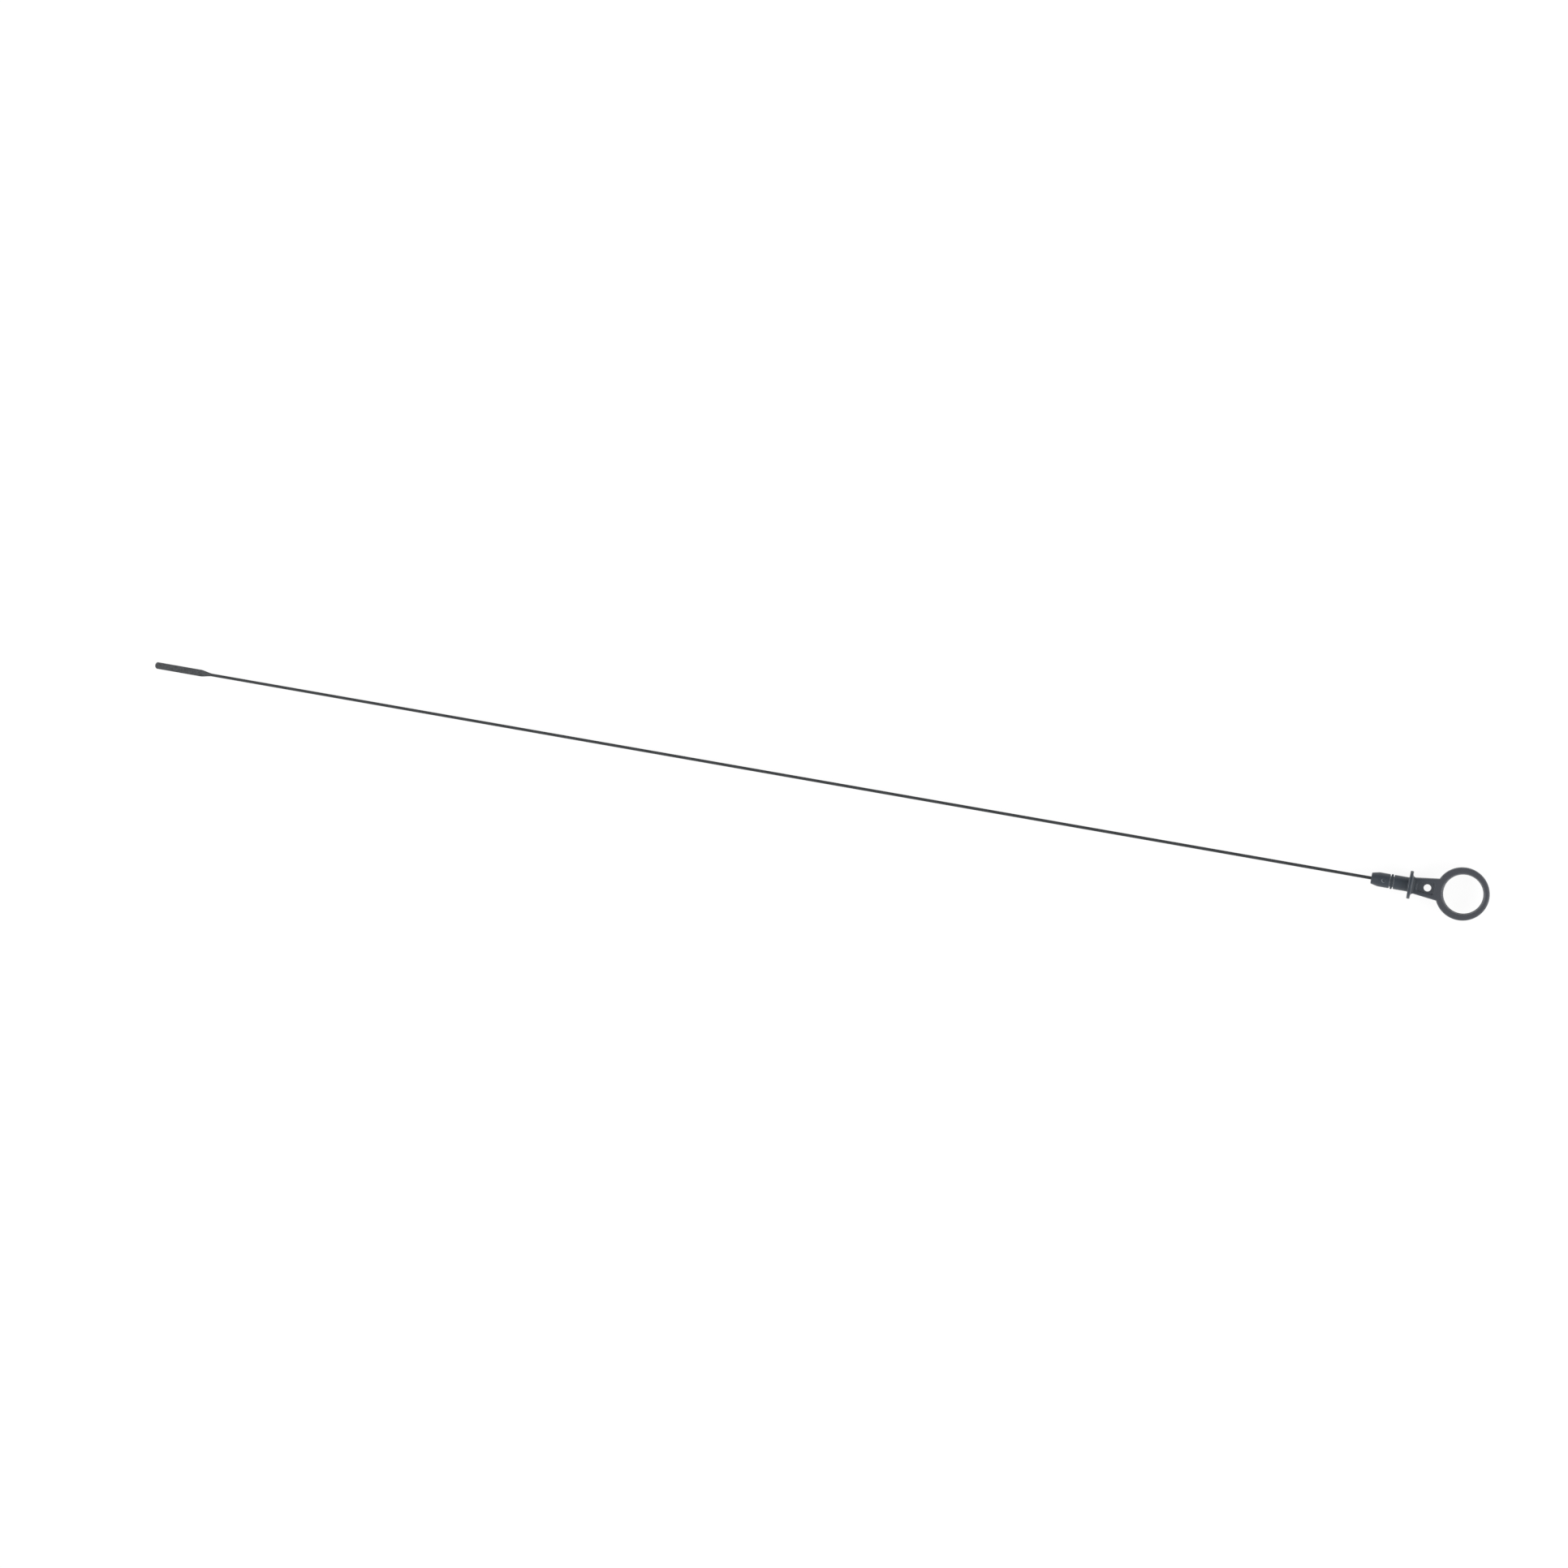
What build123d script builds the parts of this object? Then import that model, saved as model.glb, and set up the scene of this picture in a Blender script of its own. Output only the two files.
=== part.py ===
"""Engine oil dipstick: a moulded handle with finger ring and tube plug, its seal ring and a wire blade.

Modelled along X with the seat face of the flange at the origin, the finger ring towards +X and the ring's
faces level, then laid down on the flange's rim and the wire's heel behind the gauge end. All sizes are in
millimetres.
"""

import os
from math import atan2, cos, degrees, pi, radians, sin, sqrt, tan

from build123d import *

# Wire blade
WIRE_D = 1.8
BLADE_REACH = 780.6  # seat face to tip
GAUGE_W = 4.2
GAUGE_L = 31.7  # flat part, with its round tip
GAUGE_SWAGE_L = 7.1  # from the round wire to the full width
GAUGE_TIP_BLUNT = 0.2  # the tip's radius is that much over half the width
ANCHOR_W = 3.2
ANCHOR_L = 4.4
ANCHOR_SWAGE_L = 2.0
ANCHOR_COVER = 1.2  # plastic between the anchor's end and the seat face
LEVEL_LINES = (8.0, 24.0)  # low and full lines, from the tip
LEVEL_LINE_W = 0.5
LEVEL_LINE_DEPTH = 0.12

# Tube plug and seat flange
PLUG_D = 8.2
PLUG_L = 20.9
NOSE_L = 4.1
NOSE_D = 6.3
NOSE_BREAK = 0.3
FLANGE_D = 16.0
FLANGE_T = 1.9
FLANGE_ROUND = 0.45
DIMPLE_D = 2.6
DIMPLE_DEPTH = 0.5
DIMPLE_X = 13.9  # from the seat face

# Seal ring and its groove
SEAL_SECTION = 1.3
SEAL_PROUD = 0.25
SEAL_SIDES = 8  # flats of its section, one of them on the groove's floor
GROOVE_W = 2.1  # at its floor
GROOVE_LIP = 0.3  # bevel that opens its mouth on each side
GROOVE_X = 9.35  # from the seat face

# Finger ring and web
HEAD_T = 5.5
RING_X = 30.1
RING_D = 30.0
FINGER_D = 22.0
FINGER_OFFSET = 0.5  # the ring is thinner at its far end
FINGER_LAND = 0.4  # straight band at the hole's mid height
FINGER_DRAFT = 15.0  # degrees, from the band to both faces
FINGER_ROUND = 1.0
WEB_ROOT_W = 8.85
WEB_FLARE = 7.2  # degrees on each side
WEB_ROOT_FILLET = 1.7
EDGE_ROUND = 1.1
HANG_X = 10.65
HANG_D = 4.2
HANG_BREAK = 0.3
PANEL_X = 4.5
PANEL_RIM = 2.3
PANEL_LAND = 0.6  # between the panel and the ring
PANEL_CORNER = 1.1
PANEL_DEPTH = 1.0
PANEL_DRAFT = 22.0  # degrees

ROUND_FLATS = 3  # narrow flats that make up a turned round

# Sizes that follow from those above
wire_area = pi * WIRE_D**2 / 4
gauge_t = wire_area / GAUGE_W  # pressing keeps the wire's section area
anchor_t = wire_area / ANCHOR_W
plug_r = PLUG_D / 2
groove_r = plug_r + SEAL_PROUD - SEAL_SECTION
flange_r = FLANGE_D / 2
gauge_x = GAUGE_L + GAUGE_SWAGE_L - BLADE_REACH
anchor_x = -ANCHOR_COVER - ANCHOR_L - ANCHOR_SWAGE_L
rest_pitch = degrees(atan2(flange_r - WIRE_D / 2, -gauge_x))  # from the floor up to the plug's axis


def web_half(x):
    """Half the web's width at a distance x from the seat face."""
    return WEB_ROOT_W / 2 + (x - FLANGE_T) * tan(radians(WEB_FLARE))


def rounding(x, y, radius, start, turn):
    """Corners of a round about (x, y), in narrow flats, from the start angle on through the turn."""
    angles = [radians(start + turn * step / ROUND_FLATS) for step in range(ROUND_FLATS + 1)]
    return [(x + radius * cos(a), y + radius * sin(a)) for a in angles]


def turned_body():
    """Nose cone, plug with its seal groove and seat flange, turned about X."""
    groove_lo = -GROOVE_X - GROOVE_W / 2
    groove_hi = -GROOVE_X + GROOVE_W / 2
    lip_r = plug_r - GROOVE_LIP
    rim_r = flange_r - FLANGE_ROUND
    profile = [
        (-PLUG_L, 0),
        (-PLUG_L, NOSE_D / 2),
        (NOSE_L - PLUG_L, plug_r),
        (groove_lo - GROOVE_LIP, plug_r),
        (groove_lo, lip_r),
        (groove_lo, groove_r),
        (groove_hi, groove_r),
        (groove_hi, lip_r),
        (groove_hi + GROOVE_LIP, plug_r),
        (0, plug_r),
        *rounding(FLANGE_ROUND, rim_r, FLANGE_ROUND, 180, -90),
        *rounding(FLANGE_T - FLANGE_ROUND, rim_r, FLANGE_ROUND, 90, -90),
        (FLANGE_T, 0),
    ]
    outline = make_face(Polyline(*profile, close=True))
    nose_corner = outline.vertices().group_by(Axis.X)[0].sort_by(Axis.Y)[-1]
    outline = chamfer(nose_corner, NOSE_BREAK)
    return revolve(Plane.XZ * outline, Axis.X)


def web_bar():
    """The web, with rounded long edges, from inside the flange to the ring's centre."""
    root_x = FLANGE_T / 2
    root, end = web_half(root_x), web_half(RING_X)
    sides = Polyline((root_x, -root), (RING_X, -end), (RING_X, end), (root_x, root), close=True)
    bar = extrude(make_face(sides), HEAD_T / 2, both=True)
    long_edges = bar.edges().sort_by(SortBy.LENGTH)[-4:]
    return fillet(long_edges, EDGE_ROUND)


def plate_turning(profile, x):
    """A turning about Z at a distance x from the seat face, from the profile of its upper half."""
    lower = [(r, -z) for r, z in reversed(profile)]
    outline = make_face(Polyline(*lower, *profile, close=True))
    return Pos(x) * revolve(Plane.XZ * outline, Axis.Z)


def ring_disc():
    """The finger ring before its hole is cut."""
    rim = rounding(RING_D / 2 - EDGE_ROUND, HEAD_T / 2 - EDGE_ROUND, EDGE_ROUND, 0, 90)
    return plate_turning([*rim, (0, HEAD_T / 2)], RING_X)


def finger_hole():
    """The hole for a finger, drafted from its straight band to rounded edges."""
    band = (FINGER_D / 2, FINGER_LAND / 2)
    draft = radians(FINGER_DRAFT)
    round_z = HEAD_T / 2 - FINGER_ROUND
    mouth_r = band[0] + (FINGER_ROUND + (round_z - band[1]) * sin(draft)) / cos(draft)
    rim = rounding(mouth_r, round_z, FINGER_ROUND, 180 - FINGER_DRAFT, FINGER_DRAFT - 90)
    return plate_turning([band, *rim, (mouth_r, HEAD_T), (0, HEAD_T)], RING_X + FINGER_OFFSET)


def panel():
    """The sunk panel in the upper face of the web, with drafted walls."""
    panel_end = RING_X - RING_D / 2 - PANEL_LAND
    near, far = (web_half(x) - PANEL_RIM for x in (PANEL_X, panel_end))
    sides = Polyline((PANEL_X, -near), (panel_end, -far), (panel_end, far), (PANEL_X, near), close=True)
    outline = make_face(sides)
    outline = fillet(outline.vertices(), PANEL_CORNER)
    return extrude(Plane.XY.offset(HEAD_T / 2) * outline, -PANEL_DEPTH, taper=PANEL_DRAFT)


def dimple():
    """The shallow round mark on the upper side of the plug's front land."""
    floor_r = DIMPLE_D / 2 - DIMPLE_DEPTH
    cutter = Cone(floor_r, floor_r + 2 * DIMPLE_DEPTH, 2 * DIMPLE_DEPTH)
    return Pos(-DIMPLE_X, 0, plug_r) * cutter


def moulding():
    """The handle as a whole, before the blade's seat is taken out of it."""
    turned, web = turned_body(), web_bar()
    stem = turned + web
    stem = fillet(new_edges(turned, web, combined=stem), WEB_ROOT_FILLET)
    sunk = panel()
    hang_hole = Pos(HANG_X) * Cylinder(HANG_D / 2, HEAD_T)
    body = stem + ring_disc() - [finger_hole(), sunk, mirror(sunk, Plane.XY), dimple(), hang_hole]
    rims = body.edges().filter_by(GeomType.CIRCLE).group_by(lambda e: round(abs(e.radius - HANG_D / 2), 6))[0]
    return chamfer(rims, HANG_BREAK)


def wire_section(corner, side, crown):
    """A section across the wire in four edges that meet at (+-corner), through (+-side, 0) and (0, +-crown)."""
    y, z = corner
    top = Line((-y, z), (y, z)) if crown == z else ThreePointArc((-y, z), (0, crown), (y, z))
    right = ThreePointArc((y, z), (side, 0), (y, -z))
    left, bottom = mirror(right, Plane.YZ), mirror(top, Plane.XZ)
    return Plane.YZ * make_face([top, right, bottom, left])


def round_section():
    """The wire as drawn."""
    radius = WIRE_D / 2
    return wire_section((radius * sqrt(0.5), radius * sqrt(0.5)), radius, radius)


def flat_section(width, thickness):
    """The wire pressed flat, with full-round edges."""
    return wire_section(((width - thickness) / 2, thickness / 2), width / 2, thickness / 2)


def pressed_end(width, thickness, length, swage):
    """A wire end pressed flat towards -X, with a straight swage from the round wire."""
    flat = Pos(-swage) * flat_section(width, thickness)
    neck = loft([round_section(), flat], ruled=True)
    return neck + extrude(flat, length, dir=(-1, 0, 0))


def tip_trim():
    """What is punched off to round the tip in plan."""
    tip_r = GAUGE_W / 2 + GAUGE_TIP_BLUNT
    corners = Pos(-tip_r / 2) * Box(tip_r, 2 * GAUGE_W, GAUGE_W) - Cylinder(tip_r, GAUGE_W)
    return Pos(tip_r - BLADE_REACH) * corners


def blade_wire():
    """The wire with its gauge end and its anchor, and the level lines on the gauge end's underside."""
    gauge = Pos(gauge_x) * pressed_end(GAUGE_W, gauge_t, GAUGE_L, GAUGE_SWAGE_L) - tip_trim()
    anchor = Pos(anchor_x) * Rot(0, 0, 180) * pressed_end(ANCHOR_W, anchor_t, ANCHOR_L, ANCHOR_SWAGE_L)
    blade = Pos(gauge_x) * extrude(round_section(), anchor_x - gauge_x) + gauge + anchor
    for distance in LEVEL_LINES:
        line = Box(LEVEL_LINE_W, GAUGE_W, 2 * LEVEL_LINE_DEPTH)
        blade -= Pos(distance - BLADE_REACH, 0, -gauge_t / 2) * line
    return blade


def seal():
    """The seal ring on the floor of its groove."""
    half = SEAL_SECTION / 2
    section = RegularPolygon(half, SEAL_SIDES, major_radius=False, rotation=180 / SEAL_SIDES)
    return revolve(Pos(-GROOVE_X, groove_r + half) * section, Axis.X)


blade = blade_wire()
pieces = {"handle": moulding() - blade, "seal_ring": seal(), "blade": blade}

os.makedirs("parts", exist_ok=True)
for name, piece in pieces.items():
    export_step(Rot(0, -rest_pitch, 0) * piece, f"parts/{name}.step")
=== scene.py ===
"""Looks of the engine oil dipstick: a moulded handle, its seal ring and a wire blade on a white table.

Each piece is modelled in millimetres along X, with the seat face of the flange at the origin and the finger
ring towards +X, and is laid down on the table at the end, on the flange's rim and the wire's heel.
"""

from math import asin, atan2, cos, hypot, pi, radians, sin, sqrt, tan

import bmesh
import bpy
from mathutils import Matrix, Vector


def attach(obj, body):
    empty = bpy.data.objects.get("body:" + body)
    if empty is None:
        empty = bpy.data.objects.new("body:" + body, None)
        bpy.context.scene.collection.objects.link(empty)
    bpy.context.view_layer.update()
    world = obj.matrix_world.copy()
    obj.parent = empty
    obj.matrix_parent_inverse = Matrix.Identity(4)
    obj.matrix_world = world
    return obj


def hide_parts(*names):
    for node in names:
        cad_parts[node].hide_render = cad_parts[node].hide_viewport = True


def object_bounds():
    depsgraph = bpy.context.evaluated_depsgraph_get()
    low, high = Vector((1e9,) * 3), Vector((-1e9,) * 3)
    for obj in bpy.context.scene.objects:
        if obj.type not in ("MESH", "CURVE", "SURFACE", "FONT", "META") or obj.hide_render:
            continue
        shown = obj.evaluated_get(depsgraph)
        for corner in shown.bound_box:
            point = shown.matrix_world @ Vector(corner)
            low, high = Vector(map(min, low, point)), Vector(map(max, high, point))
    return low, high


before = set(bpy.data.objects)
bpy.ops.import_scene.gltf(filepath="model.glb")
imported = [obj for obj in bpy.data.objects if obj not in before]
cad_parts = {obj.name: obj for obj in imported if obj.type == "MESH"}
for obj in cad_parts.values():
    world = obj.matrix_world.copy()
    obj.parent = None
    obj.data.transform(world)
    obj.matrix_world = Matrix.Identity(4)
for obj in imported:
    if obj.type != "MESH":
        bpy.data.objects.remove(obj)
cad_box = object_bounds()

# Wire blade, in millimetres
WIRE_D = 1.8
BLADE_REACH = 780.6  # seat face to tip
GAUGE_W = 4.2
GAUGE_L = 31.7  # flat part, with its round tip
GAUGE_SWAGE_L = 7.1  # from the round wire to the full width
GAUGE_TIP_R = 2.3
ANCHOR_W = 3.2
ANCHOR_L = 4.4
ANCHOR_SWAGE_L = 2.0
ANCHOR_COVER = 1.2  # plastic between the anchor's end and the seat face
LEVEL_LINES = (8.0, 24.0)  # low and full lines, from the tip
LEVEL_LINE_W = 0.5
LEVEL_LINE_DEPTH = 0.12

# Tube plug and seat flange, in millimetres
PLUG_R = 4.1
PLUG_L = 20.9
NOSE_L = 4.1
NOSE_R = 3.15
NOSE_ROUND = 0.35
FLANGE_R = 8.0
FLANGE_T = 1.9
FLANGE_ROUND = 0.45
SEAT_ROUND = 0.5
DIMPLE_R = 1.3
DIMPLE_DEPTH = 0.5
DIMPLE_X = 13.9  # from the seat face

# Seal ring and its groove, in millimetres
SEAL_R = 0.65
GROOVE_R = 3.05
GROOVE_W = 2.1  # at its floor
GROOVE_LIP = 0.3  # bevel that opens its mouth on each side
GROOVE_ROUND = 0.1
GROOVE_X = 9.35  # from the seat face

# Finger ring and web, in millimetres
HEAD_HALF = 2.75
RING_X = 30.1
RING_R = 15.0
FINGER_R = 11.0
FINGER_OFFSET = 0.5  # the ring is thinner at its far end
FINGER_LAND = 0.4  # straight band at the hole's mid height
FINGER_DRAFT = 15.0  # degrees, from the band to both faces
FINGER_ROUND = 1.0
WEB_ROOT_HALF = 4.425
WEB_FLARE = 7.2  # degrees on each side
WEB_ROOT_FILLET = 1.7
WEB_END_INSET = 1.6  # from the hole's band back into the ring's wall
EDGE_ROUND = 1.1
HANG_X = 10.65
HANG_R = 2.1
HANG_ROUND = 0.3
PANEL_X = 4.5
PANEL_RIM = 2.3
PANEL_LAND = 0.6  # between the panel and the ring
PANEL_CORNER = 1.1
PANEL_DEPTH = 1.0
PANEL_DRAFT = 22.0  # degrees
PANEL_ROUND = 0.2

# Making of the meshes, in millimetres and steps
WIRE_SIDES = 48
TURN_STEPS = 120
RING_STEPS = 180
ROUND_STEPS = 5
ROUND_PROFILE = 0.5  # a circular arc
PANEL_STEPS = 3
SHANK_RUNS = 60
CREASE = 32  # degrees, from which an edge stays sharp
MERGE = 1e-4  # points that close become one
NEAR = 1e-3  # points that close lie on the same edge, and a cutter clears a face by as much
SINK = 1e-2  # how far a shape reaches into the one that it joins
CUTTER_RISE = 1.0  # how far a cutter stands out of what it cuts
BRIM_GROWTH = 1.1  # of a cutter's brim over the panel's mouth
MM = 0.001  # metres

# View of the photograph, in pixels, millimetres and degrees
IMAGE_PX = 1932
FOCAL_PX = 3414
SENSOR_W = 36
VIEW_CENTRE = (-367.6, -5.2, 0.0)
VIEW_DISTANCE = 1652.1
VIEW_SWING = 12.9
VIEW_LEAN = 4.8
VIEW_ROLL = 9.971

# Plastic finish
PLUG_TONE = (0.034, 0.046, 0.061)
HEAD_TONE = (0.064, 0.068, 0.081)
# lighter edges: partly wear from hands, partly painted highlight
WORN_HIGHLIGHT_TONE = (0.115, 0.124, 0.140)
# pale colour of the painted highlights in the seal groove, on the dimple and at the web's root
PAINTED_HIGHLIGHT_TONE = (0.36, 0.39, 0.42)
# painted shade that dulls the reflection on the web's root fillet
CORNER_SHADE_TONE = (0.016, 0.020, 0.025)
PLASTIC_GRAIN = 3.2  # lumps to a millimetre
PLASTIC_DRIFT = 0.14  # lumps to a millimetre
DRIFT_SHARE = 0.15  # of the slow drift in the tone, the rest being the way from plug to ring
EDGE_BAND = (1.0, 0.4, 0.01)  # foot, crest and top of a lightened edge, which is wear and painted highlight, as shares of its round from the face
WORN_HIGHLIGHT_RANGE = (0.2, 0.5)  # of the drift, from plain to fully lightened by wear and painted highlight
DIMPLE_HIGHLIGHT = 0.55  # share of the groove's full painted highlight
CORNER_HIGHLIGHT = 0.26  # share of the groove's full painted highlight
# of the painted shade on the web's root fillet
CORNER_SHADE_SHARE = 0.5
SPOT_CORE = 0.8  # share of a spot's radius that it covers in full
UNLIT_OFFSET = 0.32  # millimetres, from the dimple's middle to the side of it that gets no painted highlight, each way
CORNER_REACH = 0.6  # millimetres, of the painted highlight from the flange onto the root of the web
PARTING_HALF = 0.06  # millimetres
PARTING_SHARE = 0.5  # of the parting line in the relief, the rest being the grain
PLASTIC_ROUGH = 0.34
GRAIN_ROUGH = 0.12
# rougher where the painted shade lies on the web's root fillet
CORNER_ROUGH = 0.2
PLASTIC_RELIEF = 0.00003  # metres

# Wire finish
WIRE_DARK = (0.022, 0.025, 0.028)
WIRE_LIGHT = (0.036, 0.040, 0.045)
WIPED_LIGHT = (0.070, 0.075, 0.083)
DRAW_LINES = 6.0  # to a millimetre
DRAW_STRETCH = (0.02, 1.0, 1.0)  # the lines run along the wire
LINE_SHARE = 0.6  # of the lines in the relief, the rest being the mottle
COAT_MOTTLE = 0.7  # lumps to a millimetre
COAT_DETAIL = 4.0
MOTTLE_RANGE = (0.32, 0.68)  # of the mottle, from dark to light
WIRE_ROUGH = 0.4
MOTTLE_ROUGH = 0.2
WIRE_RELIEF = 0.00002  # metres

# Rubber finish
RUBBER_DARK = (0.020, 0.029, 0.040)
RUBBER_BLOOM = (0.030, 0.043, 0.057)
RUBBER_GRAIN = 5.0  # lumps to a millimetre
BLOOM_LUMPS = 0.5  # lumps to a millimetre
BLOOM_DETAIL = 3.0
BLOOM_RANGE = (0.35, 0.7)  # of the bloom, from black to dull
RUBBER_ROUGH = 0.55
BLOOM_ROUGH = 0.2
RUBBER_RELIEF = 0.00002  # metres

# Places of the share, of both colours and of the outcome on a colour mix
MIX_SHARE = 0
MIX_LOW = 6
MIX_HIGH = 7
MIX_OUTCOME = 2

# Table, room and lamps, in metres and watts
TABLE_HALF = 8.0
TABLE_WHITE = 0.8
TABLE_SHADE = 0.14
TABLE_GLOW = 0.9
WALL_TOP = 0.2  # sine of the height above the horizon, up to which all is white
CEILING = 0.28  # sine of the height from which the ceiling's own light holds
CEILING_LIGHT = 0.56
CEILING_SLOPE = 0.28  # lighter on the near side, darker on the far side
LAMP_REACH = 3.6  # from the middle of the part, beyond either end
LAMP_SIDE = -0.3  # towards the near side
LAMP_HEIGHT = 2.4
LAMP_SIZE = 2.0
LAMP_POWER = 60.0

heel_x = GAUGE_L + GAUGE_SWAGE_L - BLADE_REACH
anchor_x = -ANCHOR_COVER - ANCHOR_L - ANCHOR_SWAGE_L
rest_pitch = atan2(FLANGE_R - WIRE_D / 2, -heel_x)
laid_down = Matrix.Rotation(-rest_pitch, 4, "Y") @ Matrix.Scale(MM, 4)


def loose_object(bm, name):
    """An object that holds a bmesh, which is used up."""
    mesh = bpy.data.meshes.new(name)
    bm.to_mesh(mesh)
    bm.free()
    obj = bpy.data.objects.new(name, mesh)
    bpy.context.scene.collection.objects.link(obj)
    return obj


def fused(body, *steps):
    """A shape after each (operation, shape) of the steps, which joins a shape to it or cuts it out."""
    base = loose_object(body, "body")
    tools = []
    for operation, shape in steps:
        tools.append(loose_object(shape, "tool"))
        fuse = base.modifiers.new("fuse", "BOOLEAN")
        fuse.operation = operation
        fuse.solver = "EXACT"
        fuse.object = tools[-1]
    made = bmesh.new()
    made.from_object(base, bpy.context.evaluated_depsgraph_get())
    for obj in [base, *tools]:
        bpy.data.meshes.remove(obj.data)
    bmesh.ops.remove_doubles(made, verts=made.verts, dist=MERGE)
    return made


def round_off(bm, geom, radius, steps=ROUND_STEPS, affect="EDGES"):
    """Rounds edges, outer or inner ones, or the corners of an outline."""
    bmesh.ops.bevel(
        bm, geom=geom, offset=radius, segments=steps, profile=ROUND_PROFILE, affect=affect, material=-1
    )


def closed(bm):
    """A shape with its doubles merged and its faces pointing outwards."""
    bmesh.ops.remove_doubles(bm, verts=bm.verts, dist=MERGE)
    bmesh.ops.recalc_face_normals(bm, faces=bm.faces)
    return bm


def spin_round(bm, geom, axis, steps, centre=(0, 0, 0)):
    """Turns a section once round an axis through a centre."""
    bmesh.ops.spin(bm, geom=geom, cent=centre, axis=axis, angle=2 * pi, steps=steps, use_merge=True)


def skinned(bm, loops):
    """A closed shape over loops of edges, from the first to the last, with both ends filled."""
    for near, far in zip(loops, loops[1:]):
        bmesh.ops.bridge_loops(bm, edges=near + far)
    bmesh.ops.holes_fill(bm, edges=bm.edges, sides=0)
    return closed(bm)


def turning(profile, steps=TURN_STEPS):
    """A shape turned about X from its profile of (x, radius) points."""
    bm = bmesh.new()
    verts = [bm.verts.new((x, 0, r)) for x, r in profile]
    edges = [bm.edges.new(pair) for pair in zip(verts, verts[1:])]
    spin_round(bm, verts + edges, (1, 0, 0), steps)
    return closed(bm)


def turned_edges(bm, x, r):
    """The round edge of a turning at a distance x along it and r from its axis."""
    def on_edge(v):
        return abs(v.co.x - x) < NEAR and abs(hypot(v.co.y, v.co.z) - r) < NEAR

    return [e for e in bm.edges if all(on_edge(v) for v in e.verts)]


def turned_body():
    """Nose cone, plug with its seal groove and seat flange."""
    groove_lo = -GROOVE_X - GROOVE_W / 2
    groove_hi = -GROOVE_X + GROOVE_W / 2
    groove = [
        (groove_lo - GROOVE_LIP, PLUG_R),
        (groove_lo, PLUG_R - GROOVE_LIP),
        (groove_lo, GROOVE_R),
        (groove_hi, GROOVE_R),
        (groove_hi, PLUG_R - GROOVE_LIP),
        (groove_hi + GROOVE_LIP, PLUG_R),
    ]
    bm = turning([
        (-PLUG_L, 0),
        (-PLUG_L, NOSE_R),
        (NOSE_L - PLUG_L, PLUG_R),
        *groove,
        (0, PLUG_R),
        (0, FLANGE_R),
        (FLANGE_T, FLANGE_R),
        (FLANGE_T, 0),
    ])
    rims = turned_edges(bm, 0, FLANGE_R) + turned_edges(bm, FLANGE_T, FLANGE_R)
    round_off(bm, rims, FLANGE_ROUND)
    round_off(bm, turned_edges(bm, 0, PLUG_R), SEAT_ROUND)
    round_off(bm, turned_edges(bm, -PLUG_L, NOSE_R), NOSE_ROUND)
    round_off(bm, turned_edges(bm, NOSE_L - PLUG_L, PLUG_R), NOSE_ROUND)
    for x, r in groove:
        round_off(bm, turned_edges(bm, x, r), GROOVE_ROUND)
    return bm


def web_half(x):
    """Half the web's width at a distance x from the seat face."""
    return WEB_ROOT_HALF + (x - FLANGE_T) * tan(radians(WEB_FLARE))


def rounded_outline(bm, corners, radii):
    """The edges of an outline whose corners are rounded, each by its radius."""
    verts = [bm.verts.new(c) for c in corners]
    face = bm.faces.new(verts)
    before = set(bm.edges) - set(face.edges)
    for vert, radius in zip(verts, radii):
        round_off(bm, [vert], radius, affect="VERTICES")
    return [e for e in bm.edges if e not in before]


def web_section(bm, x, swell):
    """The web's outline across X, standing out all round by what its root fillet adds there."""
    y, z = web_half(x) + swell, HEAD_HALF + swell
    corners = [(x, y, z), (x, -y, z), (x, -y, -z), (x, y, -z)]
    edges = rounded_outline(bm, corners, [EDGE_ROUND + swell] * 4)
    bmesh.ops.delete(bm, geom=edges[0].link_faces[:], context="FACES_ONLY")
    return edges


def web():
    """The web, from its root fillet in the flange's face to inside the ring's wall."""
    bm = bmesh.new()
    foot_x = FLANGE_T - SINK
    steps = 2 * ROUND_STEPS
    angles = [radians(90 - 90 * step / steps) for step in range(steps + 1)]
    fillet = [(foot_x + WEB_ROOT_FILLET * (1 - sin(a)), WEB_ROOT_FILLET * (1 - cos(a))) for a in angles]
    end_x = RING_X + FINGER_OFFSET - FINGER_R - WEB_END_INSET
    stations = [(FLANGE_T / 2, WEB_ROOT_FILLET), *fillet, (end_x, 0)]
    return skinned(bm, [web_section(bm, x, swell) for x, swell in stations])


def finger_ring():
    """The ring, whose drafted hole sits off its centre."""
    bm = bmesh.new()
    draft = radians(FINGER_DRAFT)
    band, outer = RING_X + FINGER_R, RING_X + RING_R
    mouth = band + (HEAD_HALF - FINGER_LAND / 2) * tan(draft)
    upper = [(outer, 0, HEAD_HALF), (mouth, 0, HEAD_HALF), (band, 0, FINGER_LAND / 2)]
    lower = [(x, y, -z) for x, y, z in upper[::-1]]
    rounds = [EDGE_ROUND, FINGER_ROUND * tan((pi / 2 - draft) / 2), FINGER_LAND / 4]
    section = rounded_outline(bm, upper + lower, rounds + rounds[::-1])
    bmesh.ops.delete(bm, geom=bm.faces[:], context="FACES_ONLY")
    spin_round(bm, bm.verts[:] + section, (0, 0, 1), RING_STEPS, centre=(RING_X, 0, 0))
    wall_r = (FINGER_R + RING_R) / 2
    hole = [v for v in bm.verts if hypot(v.co.x - RING_X, v.co.y) < wall_r]
    bmesh.ops.translate(bm, verts=hole, vec=(FINGER_OFFSET, 0, 0))
    return closed(bm)


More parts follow.
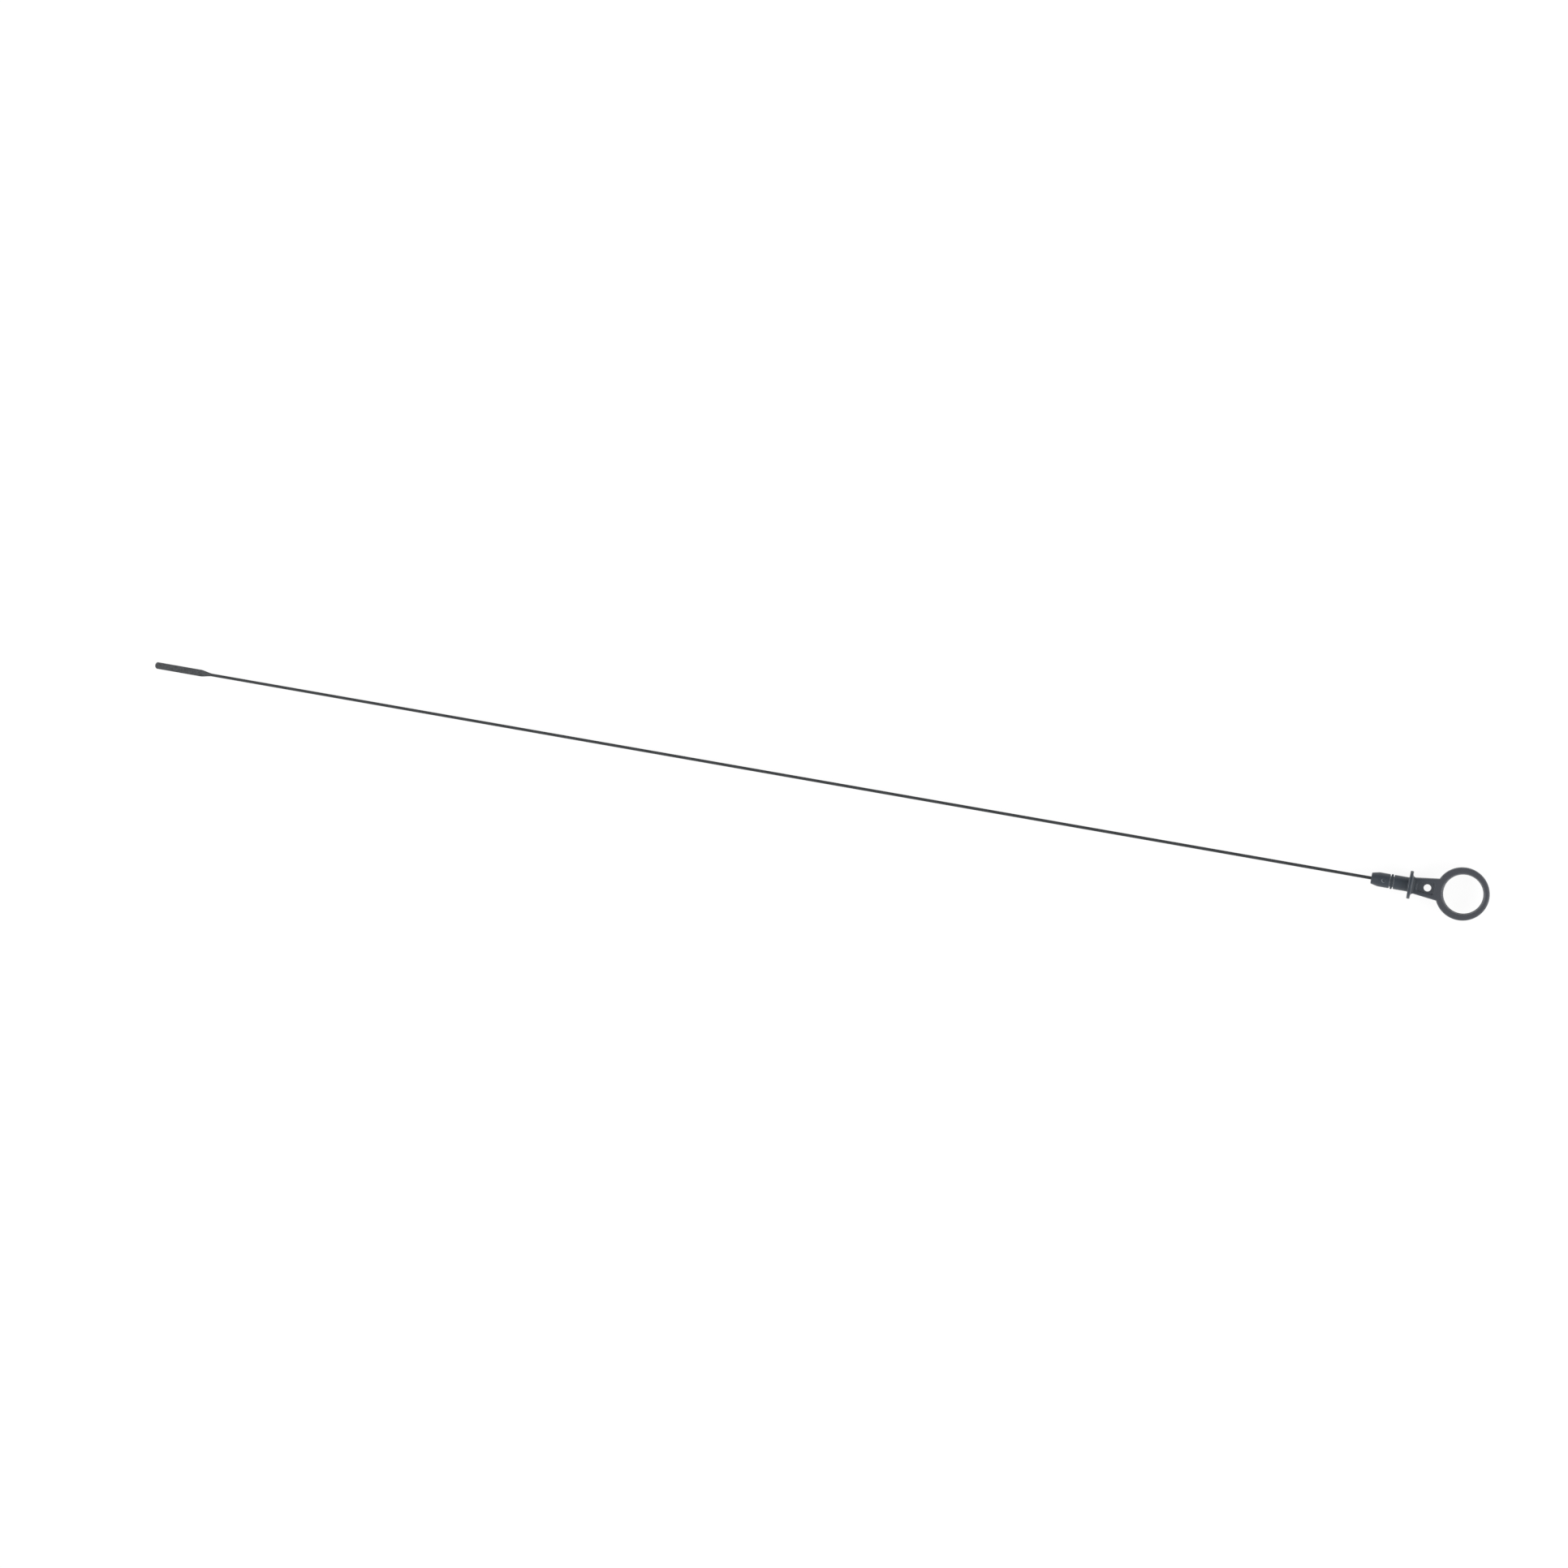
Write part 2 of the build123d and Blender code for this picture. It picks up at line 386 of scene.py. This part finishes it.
def drawn_on(bm, edges, move, grow=(1.0, 1.0), middle=(0.0, 0.0, 0.0)):
    """The edges of an outline that is drawn on from another, moved and then grown about a middle."""
    made = bmesh.ops.extrude_edge_only(bm, edges=edges)["geom"]
    verts = [v for v in made if isinstance(v, bmesh.types.BMVert)]
    bmesh.ops.translate(bm, verts=verts, vec=move)
    bmesh.ops.scale(bm, verts=verts, vec=(*grow, 1), space=Matrix.Translation(-Vector(middle)))
    return [e for e in made if isinstance(e, bmesh.types.BMEdge) and all(v in verts for v in e.verts)]


def sunk_panel(side):
    """What is sunk into the web's upper (1) or lower (-1) face, with drafted walls and rounded edges."""
    bm = bmesh.new()
    end_x = RING_X - RING_R - PANEL_LAND
    near, far = (web_half(x) - PANEL_RIM for x in (PANEL_X, end_x))
    z = HEAD_HALF + NEAR
    corners = [(PANEL_X, -near, z), (end_x, -far, z), (end_x, far, z), (PANEL_X, near, z)]
    mouth = rounded_outline(bm, corners, [PANEL_CORNER] * 4)
    bmesh.ops.delete(bm, geom=bm.faces[:], context="FACES_ONLY")
    middle = ((PANEL_X + end_x) / 2, 0.0, 0.0)
    draft = PANEL_DEPTH * tan(radians(PANEL_DRAFT))
    shrink = (1 - 2 * draft / (end_x - PANEL_X), 1 - draft / far)
    floor = drawn_on(bm, mouth, (0, 0, -PANEL_DEPTH), shrink, middle)
    brim = drawn_on(bm, mouth, (0, 0, 0), (BRIM_GROWTH, BRIM_GROWTH), middle)
    drawn_on(bm, brim, (0, 0, PANEL_DEPTH))
    bmesh.ops.holes_fill(bm, edges=bm.edges, sides=0)
    bmesh.ops.recalc_face_normals(bm, faces=bm.faces)
    round_off(bm, mouth + floor, PANEL_ROUND, PANEL_STEPS)
    bmesh.ops.scale(bm, verts=bm.verts, vec=(1, 1, side))
    return closed(bm)


def hang_hole():
    """The hole through the web, rounded where it meets both panels' floors."""
    floor_z = HEAD_HALF - PANEL_DEPTH + NEAR
    mouth_r = HANG_R + HANG_ROUND + NEAR
    bm = turning([
        (-HEAD_HALF, 0),
        (-HEAD_HALF, mouth_r),
        (-floor_z, mouth_r),
        (-floor_z, HANG_R),
        (floor_z, HANG_R),
        (floor_z, mouth_r),
        (HEAD_HALF, mouth_r),
        (HEAD_HALF, 0),
    ], TURN_STEPS // 2)
    round_off(bm, turned_edges(bm, -floor_z, HANG_R) + turned_edges(bm, floor_z, HANG_R), HANG_ROUND)
    bmesh.ops.rotate(bm, verts=bm.verts, cent=(0, 0, 0), matrix=Matrix.Rotation(pi / 2, 3, "Y"))
    bmesh.ops.translate(bm, verts=bm.verts, vec=(HANG_X, 0, 0))
    return closed(bm)


def dimple():
    """The round mark sunk into the upper side of the plug's front land."""
    floor_r = DIMPLE_R - DIMPLE_DEPTH
    bm = turning([
        (-DIMPLE_DEPTH, 0),
        (-DIMPLE_DEPTH, floor_r),
        (CUTTER_RISE, DIMPLE_R + CUTTER_RISE),
        (CUTTER_RISE, 0),
    ], TURN_STEPS // 3)
    round_off(bm, turned_edges(bm, -DIMPLE_DEPTH, floor_r), DIMPLE_DEPTH / 2)
    bmesh.ops.rotate(bm, verts=bm.verts, cent=(0, 0, 0), matrix=Matrix.Rotation(-pi / 2, 3, "Y"))
    bmesh.ops.translate(bm, verts=bm.verts, vec=(-DIMPLE_X, 0, PLUG_R))
    return closed(bm)


def moulded_handle():
    """Plug, flange, web and finger ring in one moulding, with the seat that the wire leaves in it."""
    return fused(
        turned_body(),
        ("UNION", web()),
        ("UNION", finger_ring()),
        ("DIFFERENCE", sunk_panel(1)),
        ("DIFFERENCE", sunk_panel(-1)),
        ("DIFFERENCE", hang_hole()),
        ("DIFFERENCE", dimple()),
        ("DIFFERENCE", wire_blade()),
    )


def pressed_thickness(width):
    """How thick the wire is where it is pressed to that width, at the same area across it."""
    bulge = 1 - pi / 4
    return (width - sqrt(width**2 - bulge * pi * WIRE_D**2)) / (2 * bulge)


def wire_loop(bm, x, width, thickness):
    """The edges of a loop across the wire: flat above and below, with full-round sides."""
    made = bmesh.ops.create_circle(bm, cap_ends=False, segments=WIRE_SIDES, radius=thickness / 2)
    verts = made["verts"]
    turn = Matrix.Rotation(pi / 2, 3, "Y") @ Matrix.Rotation(pi / WIRE_SIDES, 3, "Z")
    bmesh.ops.rotate(bm, verts=verts, cent=(0, 0, 0), matrix=turn)
    for side in (1, -1):
        half = [v for v in verts if side * v.co.y > 0]
        bmesh.ops.translate(bm, verts=half, vec=(x, side * (width - thickness) / 2, 0))
    return list(dict.fromkeys(e for v in verts for e in v.link_edges))


def swage(start_x, length, width):
    """Stations from the round wire to its pressed width, in a run that is half straight and half eased."""
    steps = 4 * ROUND_STEPS
    shares = [step / steps for step in range(steps + 1)]
    for s in shares:
        eased = (s + s * s * (3 - 2 * s)) / 2
        w = WIRE_D + (width - WIRE_D) * eased
        yield start_x + length * s, w, pressed_thickness(w)


def gauge_tip():
    """Stations round the tip, which is rounded in plan and along its rim."""
    flat_t = pressed_thickness(GAUGE_W)
    start = asin(GAUGE_W / 2 / GAUGE_TIP_R)
    steps = 4 * ROUND_STEPS
    for step in range(steps):
        a = start * (1 - step / steps)
        inset = GAUGE_TIP_R * (1 - cos(a))
        rim = min(1.0, 2 * inset / flat_t)
        thickness = flat_t * sqrt(1 - (1 - rim) ** 2)
        yield inset - BLADE_REACH, 2 * GAUGE_TIP_R * sin(a), thickness


def wire_blade():
    """The wire with its gauge end and the anchor in the plug, and two level lines under the gauge end."""
    bm = bmesh.new()
    shank = anchor_x - heel_x
    stations = [(x, w, min(w, t)) for x, w, t in gauge_tip()][::-1]
    stations += list(swage(heel_x, -GAUGE_SWAGE_L, GAUGE_W))[::-1]
    stations += [(heel_x + shank * run / SHANK_RUNS, WIRE_D, WIRE_D) for run in range(1, SHANK_RUNS)]
    stations += list(swage(anchor_x, ANCHOR_SWAGE_L, ANCHOR_W))
    stations += [(-ANCHOR_COVER, ANCHOR_W, pressed_thickness(ANCHOR_W))]
    wire = skinned(bm, [wire_loop(bm, *station) for station in stations])
    return fused(wire, *(("DIFFERENCE", level_line(distance)) for distance in LEVEL_LINES))


def level_line(distance):
    """What is pressed into the gauge end's underside at a distance from the tip."""
    bm = bmesh.new()
    bmesh.ops.create_cube(bm, size=1)
    bmesh.ops.scale(bm, verts=bm.verts, vec=(LEVEL_LINE_W, 2 * GAUGE_W, 2 * LEVEL_LINE_DEPTH))
    bmesh.ops.translate(bm, verts=bm.verts, vec=(distance - BLADE_REACH, 0, -pressed_thickness(GAUGE_W) / 2))
    return bm


def seal_ring():
    """The round seal on the floor of its groove."""
    bm = bmesh.new()
    made = bmesh.ops.create_circle(bm, cap_ends=False, segments=WIRE_SIDES // 2, radius=SEAL_R)
    bmesh.ops.translate(bm, verts=made["verts"], vec=(-GROOVE_X, GROOVE_R + SEAL_R, 0))
    spin_round(bm, bm.verts[:] + bm.edges[:], (1, 0, 0), TURN_STEPS)
    return closed(bm)


def finished(name, bm, finish):
    """A piece of the object that stands for the CAD node of its name."""
    bmesh.ops.transform(bm, matrix=laid_down, verts=bm.verts)
    obj = loose_object(bm, name + "_piece")
    obj.data.shade_smooth()
    obj.data.set_sharp_from_angle(angle=radians(CREASE))
    obj.data.materials.append(finish)
    weighted = obj.modifiers.new("even_normals", "WEIGHTED_NORMAL")
    weighted.keep_sharp = True
    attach(obj, "root")
    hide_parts(name)


class Signal:
    """A shader socket. Arithmetic on a number's socket adds Math nodes."""

    def __init__(self, finish, socket):
        self.finish = finish
        self.socket = socket

    def math(self, operation, *values):
        """A Math node on the values."""
        return self.finish.node("ShaderNodeMath", {"operation": operation}, dict(enumerate(values)))

    def __add__(self, other):
        return self.math("ADD", self, other)

    def __sub__(self, other):
        return self.math("SUBTRACT", self, other)

    def __rsub__(self, other):
        return self.math("SUBTRACT", other, self)

    def __mul__(self, other):
        return self.math("MULTIPLY", self, other)

    __radd__ = __add__
    __rmul__ = __mul__

    def __abs__(self):
        return self.math("ABSOLUTE", self)

    def below(self, limit):
        """1 under the limit, 0 from it on."""
        return self.math("LESS_THAN", self, limit)

    def either(self, other):
        """The larger of two values."""
        return self.math("MAXIMUM", self, other)


class Finish:
    """The nodes of a material or of the world."""

    def __init__(self, owner):
        owner.use_nodes = True
        self.owner = owner
        self.tree = owner.node_tree
        self.tree.nodes.clear()

    def node(self, kind, settings=None, sockets=None, output=0):
        """Adds a node with its settings and its sockets' values or links, and gives one of its outputs."""
        made = self.tree.nodes.new(kind)
        for name, value in (settings or {}).items():
            setattr(made, name, value)
        for name, value in (sockets or {}).items():
            if isinstance(value, Signal):
                self.tree.links.new(value.socket, made.inputs[name])
            else:
                made.inputs[name].default_value = value
        return Signal(self, made.outputs[output]) if made.outputs else None

    def place(self, stretch=(1.0, 1.0, 1.0)):
        """Where a point lies on the object, in millimetres, with X along the wire."""
        where = self.node("ShaderNodeTexCoord", output="Object")
        turn, scale = (0.0, rest_pitch, 0.0), [s / MM for s in stretch]
        return self.node("ShaderNodeMapping", None, {"Vector": where, "Rotation": turn, "Scale": scale})

    def split(self, where):
        """The three coordinates of a place or direction."""
        parts = self.node("ShaderNodeSeparateXYZ", None, {"Vector": where}).socket.node.outputs
        return [Signal(self, part) for part in parts]

    def cloud(self, where, lumps, detail=2.0):
        """Values about 0.5 in a cloud of so many lumps to a millimetre."""
        return self.node("ShaderNodeTexNoise", None, {"Vector": where, "Scale": lumps, "Detail": detail})

    def rise(self, value, low, high):
        """0 up to the low value, 1 from the high one on."""
        return self.node("ShaderNodeMapRange", None, {"Value": value, "From Min": low, "From Max": high})

    def blend(self, share, low, high):
        """A colour between two, each a tone or a socket."""
        low, high = (c if isinstance(c, Signal) else (*c, 1.0) for c in (low, high))
        sockets = {MIX_SHARE: share, MIX_LOW: low, MIX_HIGH: high}
        return self.node("ShaderNodeMix", {"data_type": "RGBA"}, sockets, output=MIX_OUTCOME)

    def spot(self, along, aside, centre, radius):
        """1 around a centre, 0 from a radius on, as seen from above."""
        off_x, off_y = along - centre[0], aside - centre[1]
        return 1 - self.rise(off_x * off_x + off_y * off_y, (SPOT_CORE * radius) ** 2, radius**2)

    def relief(self, height, depth):
        """The normal of a surface that rises by a height from 0 to 1 times a depth in metres."""
        return self.node("ShaderNodeBump", None, {"Height": height, "Distance": depth})

    def seen_white(self):
        """1 for what the camera sees, straight or in gloss and glass."""
        camera = self.node("ShaderNodeLightPath", output="Is Camera Ray")
        rays = camera.socket.node.outputs
        gloss, glass = (Signal(self, rays[name]) for name in ("Is Glossy Ray", "Is Transmission Ray"))
        return camera.either(gloss).either(glass)

    def surfaced(self, colour, roughness, normal):
        """The material, with a surface of that colour, roughness and normal."""
        sockets = {"Base Color": colour, "Roughness": roughness, "Normal": normal}
        surface = self.node("ShaderNodeBsdfPrincipled", None, sockets)
        self.node("ShaderNodeOutputMaterial", None, {"Surface": surface})
        return self.owner


def on_head(along):
    """1 on the web and the finger ring, 0 on the flange and the plug."""
    return 1 - along.below(FLANGE_T + SINK)


def worn_and_highlit_edges(f, along, aside, across):
    """Lighter edges, partly where hands rub the plastic and partly painted highlight: the rounded edges of
    web and ring, and the rim of the flange.
    """
    height = abs(across)
    foot, crest, top = (HEAD_HALF - EDGE_ROUND * share for share in EDGE_BAND)
    edges = f.rise(height, foot, crest) - f.rise(height, crest, top)
    rim_r, half_round, half_t = FLANGE_R - FLANGE_ROUND, FLANGE_ROUND / 2, FLANGE_T / 2
    outward = f.rise(aside * aside + across * across, rim_r**2, (rim_r + half_round) ** 2)
    endward = f.rise(abs(along - half_t), half_t - FLANGE_ROUND, half_t - half_round)
    head = on_head(along)
    return edges * head + outward * endward * (1 - head)


def painted_highlights(f, along, aside, across):
    """Painted highlights: over the groove, as a crescent on one side of the dimple, and as a line where the
    web leaves the flange.
    """
    # painted highlight over the groove's floor and lips, either side of the seal
    in_groove = abs(along + GROOVE_X).below((GROOVE_W + GROOVE_LIP) / 2)
    # painted highlight as a crescent on the dimple's tip side and near side
    in_dimple = f.spot(along, aside, (-DIMPLE_X, 0), DIMPLE_R) * (1 - across.below(0))
    unlit = f.spot(along, aside, (UNLIT_OFFSET - DIMPLE_X, UNLIT_OFFSET), DIMPLE_R)
    # painted highlight as a thin line on the web where it leaves the flange
    corner = on_head(along) * (1 - f.rise(along, FLANGE_T + CORNER_REACH / 2, FLANGE_T + CORNER_REACH))
    return in_groove.either(in_dimple * (1 - unlit) * DIMPLE_HIGHLIGHT).either(corner * CORNER_HIGHLIGHT)


def moulded_plastic():
    """Slate grey plastic with a fine grain and a parting line, lighter edges that are partly wear and partly
    painted highlight, painted highlights in the groove, on the dimple and at the web's root, and painted
    shade on the web's root fillet.
    """
    f = Finish(bpy.data.materials.new("moulded_plastic"))
    where = f.place()
    along, aside, across = f.split(where)
    grain, drift = f.cloud(where, PLASTIC_GRAIN), f.cloud(where, PLASTIC_DRIFT)
    parting = abs(across).below(PARTING_HALF)
    ringward = f.rise(along, FLANGE_T / 2, RING_X - FINGER_R)
    # lighter edges, partly wear and partly painted highlight, in patches of the drift
    worn_and_highlit = worn_and_highlit_edges(f, along, aside, across) * f.rise(drift, *WORN_HIGHLIGHT_RANGE)
    # painted shade on the web's root fillet next to the flange; the same mask also makes it rougher
    corner_shade = on_head(along) * (1 - f.rise(along, FLANGE_T + WEB_ROOT_FILLET / 2, FLANGE_T + WEB_ROOT_FILLET))
    colour = f.blend(ringward * (1 - DRIFT_SHARE) + drift * DRIFT_SHARE, PLUG_TONE, HEAD_TONE)
    # painted highlight, with wear, on the edges
    colour = f.blend(worn_and_highlit, colour, WORN_HIGHLIGHT_TONE)
    # painted shade on the web's root fillet
    colour = f.blend(corner_shade * CORNER_SHADE_SHARE, colour, CORNER_SHADE_TONE)
    # painted highlights in the groove, on the dimple and at the web's root
    colour = f.blend(painted_highlights(f, along, aside, across), colour, PAINTED_HIGHLIGHT_TONE)
    roughness = PLASTIC_ROUGH + GRAIN_ROUGH * grain + CORNER_ROUGH * corner_shade
    height = grain * (1 - PARTING_SHARE) + parting * PARTING_SHARE
    return f.surfaced(colour, roughness, f.relief(height, PLASTIC_RELIEF))


def phosphated_wire():
    """Drawn steel wire under a mottled dark phosphate coat, which is wiped paler at the gauge end."""
    f = Finish(bpy.data.materials.new("phosphated_wire"))
    where = f.place()
    along, _, _ = f.split(where)
    lines = f.cloud(f.place(DRAW_STRETCH), DRAW_LINES)
    mottle = f.rise(f.cloud(where, COAT_MOTTLE, COAT_DETAIL), *MOTTLE_RANGE)
    shank = f.rise(along, heel_x - GAUGE_SWAGE_L, heel_x)
    colour = f.blend(mottle, WIRE_DARK, f.blend(shank, WIPED_LIGHT, WIRE_LIGHT))
    height = lines * LINE_SHARE + mottle * (1 - LINE_SHARE)
    return f.surfaced(colour, WIRE_ROUGH + MOTTLE_ROUGH * mottle, f.relief(height, WIRE_RELIEF))


def seal_rubber():
    """Black rubber with a dull bloom in patches."""
    f = Finish(bpy.data.materials.new("seal_rubber"))
    where = f.place()
    bloom = f.rise(f.cloud(where, BLOOM_LUMPS, BLOOM_DETAIL), *BLOOM_RANGE)
    colour = f.blend(bloom, RUBBER_DARK, RUBBER_BLOOM)
    grain = f.cloud(where, RUBBER_GRAIN)
    return f.surfaced(colour, RUBBER_ROUGH + BLOOM_ROUGH * bloom, f.relief(grain, RUBBER_RELIEF))


def table_white():
    """White table that shows as white where it is lit, and shows the object's shadow."""
    f = Finish(bpy.data.materials.new("table_white"))
    white, grey = ((tone, tone, tone, 1.0) for tone in (TABLE_WHITE, TABLE_SHADE))
    sheet = f.node("ShaderNodeBsdfDiffuse", None, {"Color": white})
    shade = f.node("ShaderNodeBsdfDiffuse", None, {"Color": grey})
    glow = f.node("ShaderNodeEmission", None, {"Strength": TABLE_GLOW})
    bright = f.node("ShaderNodeAddShader", None, {0: shade, 1: glow})
    surface = f.node("ShaderNodeMixShader", None, {0: f.seen_white(), 1: sheet, 2: bright})
    f.node("ShaderNodeOutputMaterial", None, {"Surface": surface})
    return f.owner


def white_room():
    """White all round at the horizon, under a dim ceiling that is lighter on the near side."""
    f = Finish(bpy.data.worlds.new("white_room"))
    way = f.node("ShaderNodeTexCoord", output="Generated")
    _, far, up = f.split(way)
    ceiling = CEILING_LIGHT - CEILING_SLOPE * far
    strength = 1 + (ceiling - 1) * f.rise(up, WALL_TOP, CEILING)
    room = f.node("ShaderNodeBackground", None, {"Color": (1.0, 1.0, 1.0, 1.0), "Strength": strength})
    f.node("ShaderNodeOutputWorld", None, {"Surface": room})
    return f.owner


def table_top():
    """The table under the lowest point of the object."""
    bm = bmesh.new()
    bmesh.ops.create_grid(bm, x_segments=1, y_segments=1, size=TABLE_HALF)
    bmesh.ops.translate(bm, verts=bm.verts, vec=(0, 0, cad_box[0].z))
    obj = loose_object(bm, "table_top")
    obj.data.materials.append(table_white())


def soft_box(name, place, aim, size, watts):
    """A rectangular soft lamp at a place, turned to a point, in metres."""
    lamp = bpy.data.lights.new(name, "AREA")
    lamp.shape = "RECTANGLE"
    lamp.size, lamp.size_y = size
    lamp.energy = watts
    obj = bpy.data.objects.new(name, lamp)
    obj.location = place
    obj.rotation_euler = (Vector(aim) - Vector(place)).to_track_quat("-Z", "Y").to_euler()
    bpy.context.scene.collection.objects.link(obj)


def photo_camera():
    """The camera above the table, swung towards the handle and leaning to the far side."""
    swing, lean, roll = (radians(a) for a in (VIEW_SWING, VIEW_LEAN, VIEW_ROLL))
    back = Vector((sin(swing), cos(swing) * sin(lean), cos(swing) * cos(lean)))
    along = Vector((1, 0, 0))
    along = (along - along.dot(back) * back).normalized()
    over = back.cross(along)
    right = cos(roll) * along + sin(roll) * over
    up = cos(roll) * over - sin(roll) * along
    turn = Matrix((right, up, back)).transposed().to_4x4()
    lens = bpy.data.cameras.new("photo_camera")
    lens.sensor_width = SENSOR_W
    lens.lens = lens.sensor_width * FOCAL_PX / IMAGE_PX
    obj = bpy.data.objects.new("photo_camera", lens)
    pitch = Matrix.Rotation(-rest_pitch, 4, "Y")
    place = (Vector(VIEW_CENTRE) + VIEW_DISTANCE * back) * MM
    obj.matrix_world = pitch @ Matrix.Translation(place) @ turn
    bpy.context.scene.collection.objects.link(obj)
    bpy.context.scene.camera = obj


finished("handle", moulded_handle(), moulded_plastic())
finished("seal_ring", seal_ring(), seal_rubber())
finished("blade", wire_blade(), phosphated_wire())

table_top()
part_middle = (cad_box[0] + cad_box[1]) / 2
for name, way in (("tip_lamp", -1), ("ring_lamp", 1)):
    place = (part_middle.x + way * LAMP_REACH, LAMP_SIDE, LAMP_HEIGHT)
    soft_box(name, place, part_middle, (LAMP_SIZE, LAMP_SIZE), LAMP_POWER)
bpy.context.scene.world = white_room()
photo_camera()
bpy.context.scene.view_settings.view_transform = "Standard"
